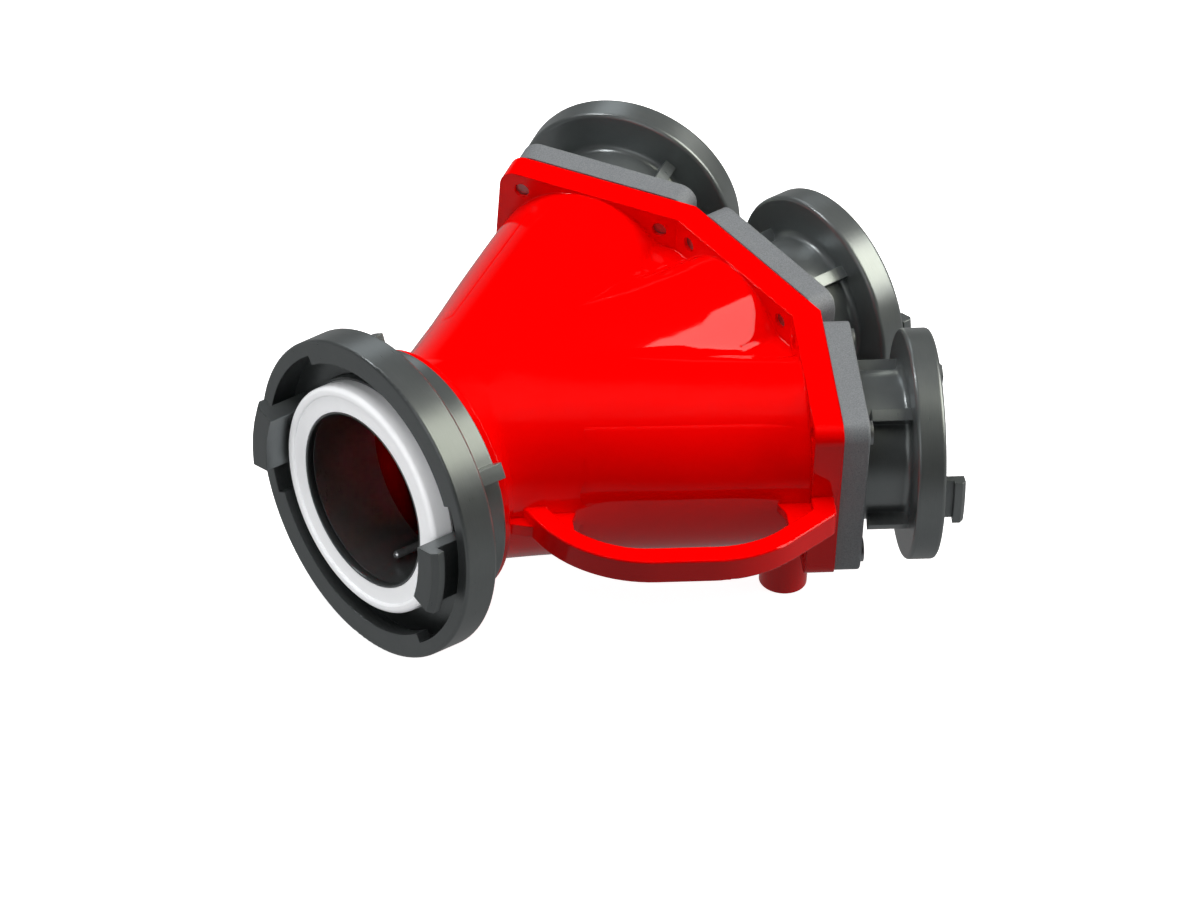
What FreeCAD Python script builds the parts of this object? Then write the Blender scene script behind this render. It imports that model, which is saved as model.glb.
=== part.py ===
"""Collecting breeching: three hose inlets with non-return flaps, run together into one swivelling outlet.

X runs along the outlet's axis, from its coupling face at X = 0 towards the inlets. Z is up, and the plane
Y = 0 divides the casting into like halves, but for the carrying handle on its right-hand side. An inlet unit
is drawn along its own X axis, from the back of the flange outwards, and is turned into place about the point
where the three tubes meet.
"""
import FreeCAD, Part
import math
import os
import re

import Sketcher
from FreeCAD import Placement, Rotation, Vector

# Driving dimensions in millimetres and degrees
SIZES = {
    # Outlet waterway and tail piece, from the bore outwards and from the coupling face backwards
    "outlet_bore": 49.0,
    "outlet_core_wall": 4.5,
    "outlet_core_recess": 3.5,
    "outlet_seal_seat": 10.0,
    "tail_wall": 7.0,
    "tail_collar_width": 10.2,
    "tail_shoulder_depth": 8.4,
    "tail_thread_end": 45.0,
    "outlet_cord": 1.3,
    "outlet_cord_place": 34.0,
    # Outlet lug ring
    "outlet_lug_gap": 0.6,
    "outlet_lug_thickness": 9.0,
    "outlet_lug_reach": 15.0,
    "outlet_hook_overhang": 5.7,
    "outlet_hook_thickness": 7.0,
    "outlet_hook_chamfer": 2.8,
    "outlet_lip_clearance": 1.7,
    "outlet_groove_clearance": 1.3,
    "outlet_ring_wall": 8.2,
    "outlet_lip_depth": 7.5,
    "outlet_groove_depth": 8.0,
    "outlet_web": 4.5,
    "outlet_edge": 1.6,
    "outlet_rib_height": 8.8,
    "outlet_rib_length": 20.5,
    "outlet_rib_angle": 6.4,
    "outlet_rib_turn": 55.0,
    "ring_collar_wall": 7.6,
    "ring_collar_length": 21.5,
    # Outlet seal
    "outlet_seal_width": 14.5,
    "outlet_seal_proud": 2.4,
    "outlet_seal_bead": 5.4,
    "outlet_seal_step": 1.5,
    # Lug and notch angles that both coupling sizes share
    "lug_angle": 29.0,
    "notch_before": 16.0,
    "notch_after": 34.0,
    # Casting: neck, tubes and the walls between them
    "spigot_wall": 7.9,
    "neck_collar_radius": 69.0,
    "neck_collar_depth": 4.2,
    "neck_taper_width": 5.0,
    "neck_taper_length": 6.0,
    "junction_place": 68.4,
    "junction_bore": 50.0,
    "junction_ease": 0.2,
    "branch_length": 197.0,
    "branch_angle": 31.0,
    "tube_bore": 42.5,
    "tube_end_wall": 5.8,
    "junction_wall": 7.0,
    "tube_root_fillet": 0.9,
    "crease_fillet": 8.0,
    "web_height": 59.0,
    # Casting: flange and feet
    "flange_thickness": 15.8,
    "flange_height": 99.4,
    "flange_end": 52.8,
    "flange_corner": 9.0,
    "foot_radius": 13.0,
    "foot_inset": 18.5,
    # Casting: handle, placed sideways from the right-hand tube's axis, with its front leg placed along the
    # tube from the junction and its back leg from the flange's back
    "handle_height": 14.2,
    "handle_bar": 13.0,
    "handle_leg": 11.6,
    "handle_reach": 105.2,
    "handle_front_bend": 50.4,
    "handle_front_slope": 63.0,
    "handle_front_round": 68.0,
    "handle_back_bend": 48.5,
    "handle_back_slope": 40.0,
    "handle_back_round": 70.0,
    "handle_back_inset": 3.5,
    "handle_heel_round": 6.0,
    "handle_corner_round": 4.0,
    "handle_edge": 1.1,
    "handle_root_fillet": 0.6,
    "handle_web_top": 2.4,
    "handle_web_thickness": 5.0,
    "handle_web_reach": 75.0,
    "handle_web_waist": 60.5,
    "handle_web_flare": 7.0,
    "handle_web_round": 10.0,
    "handle_front_web": 51.0,
    "handle_back_web": 29.8,
    "gusset_height": 7.0,
    "gusset_top": 1.0,
    "gusset_reach": 73.0,
    "gusset_width": 5.0,
    # Stop pin in the outlet bore
    "stop_pin_radius": 2.2,
    "stop_pin_tip": 20.0,
    "stop_pin_length": 46.0,
    "stop_pin_drop": 44.0,
    "stop_pin_side": 5.0,
    "stop_pin_carrier": 9.0,
    # Inlet plate, its seal, valve seat and screws
    "plate_side": 101.0,
    "plate_thickness": 14.5,
    "plate_corner": 10.0,
    "plate_edge": 1.2,
    "plate_cord": 1.4,
    "plate_cord_land": 2.2,
    "seat_step": 2.0,
    "seat_depth": 3.5,
    "screw_radius": 4.0,
    "screw_spacing": 80.0,
    "screw_recess": 2.0,
    "screw_head_radius": 6.6,
    "screw_head_height": 2.2,
    "screw_socket_radius": 2.9,
    "screw_socket_depth": 1.4,
    # Inlet coupling, from the bore outwards and from its face backwards
    "inlet_bore": 31.0,
    "inlet_core_wall": 4.2,
    "inlet_core_recess": 3.0,
    "inlet_seal_seat": 7.5,
    "inlet_hub_wall": 13.2,
    "inlet_spigot_wall": 5.9,
    "inlet_barrel_wall": 9.0,
    "inlet_barrel_length": 26.0,
    "inlet_barrel_fillet": 4.0,
    "inlet_lug_gap": 0.3,
    "inlet_lug_thickness": 5.8,
    "inlet_lug_reach": 11.8,
    "inlet_hook_overhang": 4.0,
    "inlet_hook_thickness": 6.2,
    "inlet_hook_chamfer": 2.0,
    "inlet_lip_clearance": 1.2,
    "inlet_groove_clearance": 1.2,
    "inlet_ring_wall": 6.9,
    "inlet_lip_depth": 5.0,
    "inlet_groove_depth": 7.0,
    "inlet_web": 3.8,
    "inlet_edge": 2.2,
    "inlet_rib_height": 7.4,
    "inlet_rib_length": 22.0,
    "inlet_rib_angle": 8.4,
    "inlet_rib_turn": 58.0,
    "inlet_seal_width": 10.6,
    "inlet_seal_proud": 2.0,
    "inlet_seal_bead": 4.4,
    "inlet_seal_step": 1.2,
    "gasket_thickness": 1.5,
    "gasket_setback": 0.6,
    # Non-return flap and its hinge
    "flap_overlap": 4.0,
    "flap_drop": 2.0,
    "flap_thickness": 4.0,
    "facing_thickness": 3.0,
    "flap_spine_height": 4.0,
    "flap_spine_width": 14.0,
    "hinge_pin_radius": 2.5,
    "knuckle_wall": 1.6,
    "knuckle_length": 16.0,
    "ear_thickness": 4.5,
    "ear_wall": 2.0,
    # Clearances
    "running_clearance": 0.06,
    "swivel_play": 0.3,
    "thread_clearance": 0.05,
    "seal_clearance": 0.1,
    "facing_gap": 0.25,
    "ear_play": 0.4,
}

document = FreeCAD.newDocument("collecting_breeching")
sheet = document.addObject("Spreadsheet::Sheet", "Sizes")
for row, (alias, number) in enumerate(SIZES.items(), start=1):
    sheet.set(f"A{row}", alias)
    sheet.set(f"B{row}", str(number))
    sheet.setAlias(f"B{row}", alias)
document.recompute()

ALONG_X = Rotation(Vector(0, 1, 0), 90)
ALONG_Y = Rotation(Vector(1, 0, 0), -90)
nodes = []


def bound(text):
    """The expression with each size's name pointing at its cell of the sheet."""
    return re.sub(r"[a-z_]+", lambda word: "Sizes." + word[0] if word[0] in SIZES else word[0], text)


def bind(item, **properties):
    """Ties properties of a document object to expressions on the sheet."""
    for name, text in properties.items():
        item.setExpression(name.replace("__", "."), bound(text))
    return item


def node(item, name):
    """Names an object as a sub-part that is written to a file of its own."""
    item.Label = name
    nodes.append(item)
    return item


# Sketches and features of a body

def origin_plane(body, role):
    return next(feature for feature in body.Origin.OriginFeatures if feature.Role == role)


def sketch_on(body, name, plane, lift="0", turn=None):
    """Empty sketch on one of the body's origin planes, lifted off it or turned about its own first axis."""
    sketch = body.newObject("Sketcher::SketchObject", name)
    sketch.AttachmentSupport = (origin_plane(body, plane), [""])
    sketch.MapMode = "FlatFace"
    if turn:
        sketch.AttachmentOffset = Placement(Vector(), Rotation(Vector(1, 0, 0), 1))
        bind(sketch, AttachmentOffset__Rotation__Angle=turn)
    else:
        bind(sketch, AttachmentOffset__Base__z=lift)
    return sketch


def outline(sketch, corners):
    """Closed outline of straight edges, with the place of each corner given by two expressions."""
    count = len(corners)
    start = [Vector(math.cos(math.tau * k / count), math.sin(math.tau * k / count)) for k in range(count)]
    first = sketch.GeometryCount
    for k in range(count):
        sketch.addGeometry(Part.LineSegment(start[k], start[(k + 1) % count]), False)
    for k in range(count):
        sketch.addConstraint(Sketcher.Constraint("Coincident", first + k, 2, first + (k + 1) % count, 1))
    for k, corner in enumerate(corners):
        for kind, text in zip(("DistanceX", "DistanceY"), corner):
            place = sketch.addConstraint(Sketcher.Constraint(kind, -1, 1, first + k, 1, 1.0))
            sketch.setExpression(f"Constraints[{place}]", bound(text))
    return sketch


def circles(sketch, centres, radius):
    """Circles of one radius, with each centre given by two expressions."""
    for centre in centres:
        circle = sketch.addGeometry(Part.Circle(Vector(1, 1, 0), Vector(0, 0, 1), 1.0), False)
        for kind, text in zip(("DistanceX", "DistanceY"), centre):
            place = sketch.addConstraint(Sketcher.Constraint(kind, -1, 1, circle, 3, 1.0))
            sketch.setExpression(f"Constraints[{place}]", bound(text))
        size = sketch.addConstraint(Sketcher.Constraint("Radius", circle, 1.0))
        sketch.setExpression(f"Constraints[{size}]", bound(radius))
    return sketch


def new_body(name):
    return document.addObject("PartDesign::Body", name)


def turned(body, name, corners, kind="PartDesign::Revolution", angle="360", turn=None):
    """Profile of (place along X, radius) corners turned about X, over part of a turn if given an angle."""
    sketch = outline(sketch_on(body, name + "_profile", "XY_Plane", turn=turn), corners)
    feature = body.newObject(kind, name)
    feature.Profile = sketch
    feature.ReferenceAxis = (sketch, ["H_Axis"])
    feature.Midplane = True
    return bind(feature, Angle=angle)


def raised(body, name, sketch, length, kind="PartDesign::Pad", both_ways=False, backwards=False):
    """Sketch padded or pocketed by a length, along its plane's normal, against it or half to each side."""
    feature = body.newObject(kind, name)
    feature.Profile = sketch
    feature.SideType = "Symmetric" if both_ways else "One side"
    feature.Reversed = backwards
    return bind(feature, Length=length)


def rounded(body, name, radius, chosen):
    """Fillet on the edges of the body's last feature that a test picks out."""
    document.recompute()
    base = body.Tip
    edges = [f"Edge{k}" for k, edge in enumerate(base.Shape.Edges, start=1)
             if not edge.Degenerated and chosen(edge)]
    feature = body.newObject("PartDesign::Fillet", name)
    feature.Base = (base, edges)
    return bind(feature, Radius=radius)


def repeated(body, name, features, count):
    """Features repeated round the X axis."""
    pattern = body.newObject("PartDesign::PolarPattern", name)
    pattern.Originals = features
    pattern.Axis = (next(axis for axis in body.Origin.OriginFeatures if axis.Role == "X_Axis"), [""])
    pattern.Angle = 360
    pattern.Occurrences = count
    body.Tip = pattern
    return pattern


def size(text):
    """Number that an expression on the sheet has now, read back through a scratch property."""
    scratch.setExpression("value", bound(text))
    document.recompute([scratch])
    return scratch.value


scratch = document.addObject("App::FeaturePython", "Reading")
scratch.addProperty("App::PropertyFloat", "value")


def is_round(edge, radius, place=None):
    """Whether an edge is a circle about X of a radius, at a place along X."""
    curve = edge.Curve
    if curve.TypeId != "Part::GeomCircle" or abs(abs(curve.Axis.x) - 1) > 1e-6:
        return False
    if abs(curve.Radius - radius) > 1e-4:
        return False
    return place is None or abs(curve.Center.x - place) < 1e-4


# Sizes of a lug coupling that its pieces share, as expressions
# A coupling is drawn with its face at X = 0, looking towards -X.

TAIL_THREAD = "(outlet_bore + tail_wall)"
HUB = {
    "outlet": f"({TAIL_THREAD} + tail_collar_width)",
    "inlet": "(inlet_bore + inlet_hub_wall)",
}


def core(of):
    return f"({of}_bore + {of}_core_wall)"


def lug_inside(of):
    return f"({HUB[of]} + {of}_lug_gap)"


def lug_outside(of):
    return f"({lug_inside(of)} + {of}_lug_thickness)"


def hook_radius(of):
    return f"({lug_outside(of)} + {of}_hook_overhang)"


def lip_radius(of):
    return f"({lug_outside(of)} + {of}_lip_clearance)"


def groove_radius(of):
    return f"({hook_radius(of)} + {of}_groove_clearance)"


def ring_radius(of):
    return f"({groove_radius(of)} + {of}_ring_wall)"


def floor_depth(of):
    return f"({of}_lip_depth + {of}_groove_depth)"


def ring_depth(of):
    return f"({floor_depth(of)} + {of}_web)"


TAIL_SHOULDER = f"({floor_depth('outlet')} + tail_shoulder_depth)"
SPIGOT_RADIUS = f"({TAIL_THREAD} + thread_clearance + spigot_wall)"
RING_COLLAR = f"({SPIGOT_RADIUS} + running_clearance + ring_collar_wall)"
RING_END = f"({ring_depth('outlet')} + ring_collar_length)"
NECK_FRONT = f"({RING_END} + swivel_play)"
INLET_BARREL = "(inlet_bore + inlet_barrel_wall)"
INLET_SPIGOT = "(inlet_bore + inlet_spigot_wall)"
INLET_SHOULDER = f"({ring_depth('inlet')} + inlet_barrel_length)"
INLET_SPIGOT_LENGTH = "(plate_thickness - seat_depth - gasket_thickness)"
SEAT_BORE = "(inlet_bore - seat_step)"
FLAP_RADIUS = f"({SEAT_BORE} + flap_overlap)"
FLAP_BACK = "(facing_gap + facing_thickness)"
FLAP_FRONT = f"({FLAP_BACK} + flap_thickness)"
KNUCKLE = "(hinge_pin_radius + running_clearance + knuckle_wall)"
PIN_PLACE = f"({KNUCKLE} + facing_gap)"
PIN_HEIGHT = f"({FLAP_RADIUS} - flap_drop + {KNUCKLE})"
EAR_RADIUS = "(hinge_pin_radius + ear_wall)"
EAR_SPAN = "(knuckle_length + 2 * ear_play + 2 * ear_thickness)"


def lugs_and_notches(body, of, barrel, barrel_front):
    """Cuts the rim's two notches, adds the two hooked lugs and the four spanner ribs behind the rim."""
    overlap = "1"
    notch = turned(body, "notch", [
        (f"-{overlap}", f"{lip_radius(of)} - {overlap}"),
        (f"-{overlap}", groove_radius(of)),
        (f"{of}_lip_depth", groove_radius(of)),
        (f"{of}_lip_depth", f"{lip_radius(of)} - {overlap}"),
    ], "PartDesign::Groove", "lug_angle + notch_before + notch_after", "(notch_after - notch_before) / 2")
    lug = turned(body, "lug", [
        (f"{floor_depth(of)} + {overlap}", lug_inside(of)),
        (f"{floor_depth(of)} + {overlap}", lug_outside(of)),
        (f"{of}_hook_thickness - {of}_lug_reach", lug_outside(of)),
        (f"{of}_hook_thickness - {of}_lug_reach", hook_radius(of)),
        (f"{of}_hook_chamfer - {of}_lug_reach", hook_radius(of)),
        (f"-{of}_lug_reach", f"{hook_radius(of)} - {of}_hook_chamfer"),
        (f"-{of}_lug_reach", lug_inside(of)),
    ], angle="lug_angle")
    rib = turned(body, "spanner_rib", [
        (f"{barrel_front} - {overlap}", f"{barrel} - {overlap}"),
        (f"{barrel_front} - {overlap}", f"{barrel} + {of}_rib_height"),
        (f"{barrel_front} + {of}_rib_length", f"{barrel} + {of}_rib_height"),
        (f"{barrel_front} + {of}_rib_length", f"{barrel} - {overlap}"),
    ], angle=f"{of}_rib_angle", turn=f"{of}_rib_turn")
    repeated(body, "pair", [notch, lug], 2)
    repeated(body, "ribs", [rib], 4)


def lip_seal(name, of):
    """White lip seal: it grips the core in the coupling's face and stands proud with a rounded bead."""
    body = new_body(name)
    outside = f"({of}_bore + 1.4 + {of}_seal_width)"
    inside = f"({of}_bore + 1.4)"
    turned(body, "ring", [
        (f"{of}_seal_seat", f"{core(of)} + seal_clearance"),
        (f"{of}_seal_seat", outside),
        (f"-{of}_seal_proud", outside),
        (f"-{of}_seal_proud", f"{outside} - {of}_seal_bead"),
        (f"{of}_seal_step - {of}_seal_proud", f"{outside} - {of}_seal_bead"),
        (f"{of}_seal_step - {of}_seal_proud", inside),
        (f"{of}_core_recess - seal_clearance", inside),
        (f"{of}_core_recess - seal_clearance", f"{core(of)} + seal_clearance"),
    ])
    proud = -size(f"{of}_seal_proud")
    outer = size(outside)
    inner = size(f"{outside} - {of}_seal_bead")
    rounded(body, "bead_outside", f"{of}_seal_bead * 0.5", lambda edge: is_round(edge, outer, proud))
    rounded(body, "bead_inside", f"{of}_seal_step * 0.8", lambda edge: is_round(edge, inner, proud))
    return body


def part_cylinder(name, radius, start, length, x="0", y="0", z="0", rotation=ALONG_X):
    """Cylinder along X that starts at a place, or along another direction from a point."""
    item = document.addObject("Part::Cylinder", name)
    item.Placement = Placement(Vector(), rotation)
    bind(item, Radius=radius, Height=length, Placement__Base__y=y, Placement__Base__z=z)
    return bind(item, Placement__Base__x=start if rotation is ALONG_X else x)


def part_cone(name, start, length, first_radius, last_radius):
    """Cone along X from a place, between two radii."""
    item = document.addObject("Part::Cone", name)
    item.Placement = Placement(Vector(), ALONG_X)
    return bind(item, Radius1=first_radius, Radius2=last_radius, Height=length, Placement__Base__x=start)


def fuse(name, items):
    item = document.addObject("Part::MultiFuse", name)
    item.Shapes = items
    item.Refine = True
    return item


def cut(name, base, tool):
    item = document.addObject("Part::Cut", name)
    item.Base = base
    item.Tool = tool
    return item


def group(name, items):
    """Pieces kept together without joining them, so that they can be placed as one."""
    item = document.addObject("Part::Compound", name)
    item.Links = items
    return item


# The three branches: name, which way each turns from the outlet's axis
BRANCHES = {"left": 1, "middle": 0, "right": -1}


def to_branch(item, side):
    """Turns what was drawn along X, from the back of the flange outwards, into its branch."""
    item.Placement = Placement(Vector(), Rotation(Vector(0, 0, 1), 1))
    turn = BRANCHES[side]
    return bind(
        item,
        Placement__Base__x=f"junction_place + branch_length * cos({turn} * branch_angle)",
        Placement__Base__y=f"branch_length * sin({turn} * branch_angle)",
        Placement__Rotation__Angle=f"{turn} * branch_angle",
    )


# Housing: one casting

HANDLE_ROOT = "(tube_bore + tube_end_wall / 2)"
HANDLE_INSIDE = "(handle_reach - handle_bar)"
FRONT_BEND = "(branch_length - handle_front_bend)"
FRONT_WEB = "(branch_length - handle_front_web)"


def front_leg(aside, width="0"):
    """Place along the tube of the handle's front leg, a distance aside and a width in from its outer face."""
    run = f"(handle_reach - {aside}) / tan(handle_front_slope)"
    return f"({width}) / sin(handle_front_slope) - {FRONT_BEND} - {run}"


def back_leg(aside, width="0"):
    run = f"(handle_reach - {aside}) / tan(handle_back_slope)"
    return f"{run} - handle_back_bend - ({width}) / sin(handle_back_slope)"


def beside(side, points):
    """Points along and aside an outer tube, given in that tube's plane."""
    return [(along, f"{BRANCHES[side]} * ({aside})") for along, aside in points]


def upright_at(side, along, aside):
    """Test for the upright edge over a point along and aside a tube."""
    x = size(along)
    y = BRANCHES[side] * size(aside)

    def test(edge):
        low, high = edge.Vertexes[0].Point, edge.Vertexes[-1].Point
        level = math.hypot(low.x - high.x, low.y - high.y) < 1e-4
        return level and math.hypot(low.x - x, low.y - y) < 1e-3
    return test


def handle(side):
    """Carrying handle in plan: a bar along the outer tube and two sloping legs."""
    body = new_body(f"handle_{side}")
    heel = "(handle_reach - (handle_back_bend - handle_back_inset) * tan(handle_back_slope))"
    blank = outline(sketch_on(body, "blank_plan", "XY_Plane"), beside(side, [
        (front_leg(HANDLE_ROOT), HANDLE_ROOT),
        (f"-{FRONT_BEND}", "handle_reach"),
        ("-handle_back_bend", "handle_reach"),
        ("-handle_back_inset", heel),
        ("-handle_back_inset", HANDLE_ROOT),
    ]))
    raised(body, "blank", blank, "handle_height", both_ways=True)
    low = f"({HANDLE_ROOT} - 1)"
    run = "(handle_back_bend + handle_leg / sin(handle_back_slope) - flange_thickness)"
    corner = f"(handle_reach - {run} * tan(handle_back_slope))"
    front_inside = front_leg(HANDLE_INSIDE, "handle_leg")
    back_inside = back_leg(HANDLE_INSIDE, "handle_leg")
    opening = outline(sketch_on(body, "opening_plan", "XY_Plane"), beside(side, [
        (front_leg(low, "handle_leg"), low),
        (front_inside, HANDLE_INSIDE),
        (back_inside, HANDLE_INSIDE),
        ("-flange_thickness", corner),
        ("-flange_thickness", low),
    ]))
    raised(body, "opening", opening, "handle_height + 2", "PartDesign::Pocket", both_ways=True)
    for name, radius, along, aside in (
        ("front_bend", "handle_front_round", f"-{FRONT_BEND}", "handle_reach"),
        ("back_bend", "handle_back_round", "-handle_back_bend", "handle_reach"),
        ("heel", "handle_heel_round", "-handle_back_inset", heel),
        ("front_inside", "handle_front_round - handle_bar", front_inside, HANDLE_INSIDE),
        ("back_inside", "handle_back_round - handle_bar", back_inside, HANDLE_INSIDE),
        ("corner", "handle_corner_round", "-flange_thickness", corner),
    ):
        rounded(body, name, radius, upright_at(side, along, aside))
    half = size("handle_height / 2")
    grip = size(f"{HANDLE_ROOT} + 2")
    rounded(body, "edges", "handle_edge", lambda edge: abs(abs(edge.CenterOfMass.z) - half) < 1e-4
            and abs(edge.BoundBox.ZLength) < 1e-4 and abs(edge.CenterOfMass.y) > grip)
    return to_branch(body, side)


def handle_webs(side):
    """Thinner webs in the two corners between the handle's legs and the tube."""
    body = new_body(f"handle_webs_{side}")
    half_leg = "handle_leg / 2"
    for name, leg, inside, edge, flare in (
        ("front", front_leg, front_leg(HANDLE_ROOT, half_leg), f"-{FRONT_WEB}", "handle_web_flare"),
        ("back", back_leg, "-flange_thickness / 2", "-handle_back_web", "-handle_web_flare"),
    ):
        plan = outline(sketch_on(body, f"{name}_plan", "XY_Plane", lift="handle_web_top"), beside(side, [
            (leg("handle_web_reach", half_leg), "handle_web_reach"),
            (inside, HANDLE_ROOT),
            (f"{edge} + {flare}", HANDLE_ROOT),
            (edge, "handle_web_waist"),
            (edge, "handle_web_reach"),
        ]))
        raised(body, name, plan, "handle_web_thickness", backwards=True)
        rounded(body, f"{name}_waist", "handle_web_round", upright_at(side, edge, "handle_web_waist"))
    return to_branch(body, side)


def facet_corner(depth, way):
    """Corner between the middle facet and an outer one, at a distance from the junction."""
    return f"junction_place + {depth}", f"{way} * ({depth}) * tan(branch_angle / 2)"


def facet_end(depth, way, reach="flange_end"):
    """Point of an outer facet, sideways from its tube's axis, at a distance from the junction."""
    along = f"junction_place + ({depth}) * cos(branch_angle) - {reach} * sin(branch_angle)"
    return along, f"{way} * (({depth}) * sin(branch_angle) + {reach} * cos(branch_angle))"


def flange():
    """Faceted plate square to the three tubes, with rounded ends."""
    body = new_body("flange")
    front = "(branch_length - flange_thickness)"
    back = "branch_length"
    plan = outline(sketch_on(body, "plan", "XY_Plane"), [
        facet_end(back, -1), facet_corner(back, -1), facet_corner(back, 1), facet_end(back, 1),
        facet_end(front, 1), facet_corner(front, 1), facet_corner(front, -1), facet_end(front, -1),
    ])
    raised(body, "plate", plan, "flange_height", both_ways=True)
    half = size("flange_height / 2")
    end = size("branch_length * sin(branch_angle) + flange_end * cos(branch_angle) - flange_thickness")
    thickness = size("flange_thickness")
    rounded(body, "ends", "flange_corner", lambda edge: abs(abs(edge.CenterOfMass.z) - half) < 1e-4
            and abs(edge.Length - thickness) < 1e-3 and abs(edge.CenterOfMass.y) > end)
    return body


def web(side):
    """Flat-topped wall between two neighbouring tubes."""
    body = new_body(f"web_{side}")
    way = BRANCHES[side]
    front = "(branch_length - flange_thickness / 2)"
    plan = outline(sketch_on(body, "plan", "XY_Plane"), [
        ("junction_place", "0"), (f"junction_place + {front}", "0"),
        facet_corner(front, way), facet_end(front, way, "0"),
    ])
    raised(body, "wall", plan, "web_height", both_ways=True)
    return body


def gusset(side):
    """Small web between the handle's front leg and the neck."""
    body = new_body(f"gusset_{side}")
    way = BRANCHES[side]
    back = "junction_place"
    plan = outline(sketch_on(body, "plan", "XY_Plane", lift="gusset_top - gusset_height"), [
        (f"{NECK_FRONT} + neck_collar_depth / 2", f"{way} * (junction_bore + junction_wall / 2)"),
        (back, f"{way} * (junction_bore + junction_wall / 2)"),
        (back, f"{way} * gusset_reach"),
        (f"{back} - gusset_width", f"{way} * gusset_reach"),
    ])
    raised(body, "wall", plan, "gusset_height")
    return body


def blended(name, base, radius, chosen):
    """Casting with the edges that a test picks out rounded."""
    body = new_body(name)
    body.BaseFeature = base
    document.recompute()
    body.Tip = body.Group[0]
    rounded(body, name + "_edges", radius, chosen)
    return body


def tube_creases():
    """Test for the valleys between two tubes and between a tube and the web beside it."""
    reach = size("branch_length / 2")

    def test(edge):
        kind = edge.Curve.TypeId
        long = edge.BoundBox.XLength > reach
        return kind == "Part::GeomHyperbola" or (kind == "Part::GeomBSplineCurve" and long)
    return test


def flange_roots():
    """Test for the edges where tubes and webs stand on the front of the flange."""
    depth = size("branch_length - flange_thickness")
    half = size("flange_height / 2")
    junction = Vector(size("junction_place"), 0, 0)
    turns = [math.radians(way * size("branch_angle")) for way in BRANCHES.values()]
    normals = [Vector(math.cos(turn), math.sin(turn), 0) for turn in turns]

    def test(edge):
        low, high = edge.ParameterRange
        arms = [edge.valueAt(low + (high - low) * k / 6) - junction for k in range(7)]
        if not any(all(abs(arm.dot(normal) - depth) < 1e-3 for arm in arms) for normal in normals):
            return False
        straight = edge.Curve.TypeId == "Part::GeomLine"
        outside = abs(abs(edge.CenterOfMass.z) - half) < 1e-3
        small = edge.Curve.TypeId == "Part::GeomCircle" and edge.Curve.Radius < half / 2
        return not outside and not small and not (straight and edge.BoundBox.ZLength > 1)
    return test


def handle_roots():
    """Test for the edges where the handle's flat sides meet the tube."""
    half = size("handle_height / 2")
    return lambda edge: (edge.Curve.TypeId == "Part::GeomHyperbola" and edge.BoundBox.ZLength < 1e-3
                         and abs(abs(edge.CenterOfMass.z) - half) < 1e-3)


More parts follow.
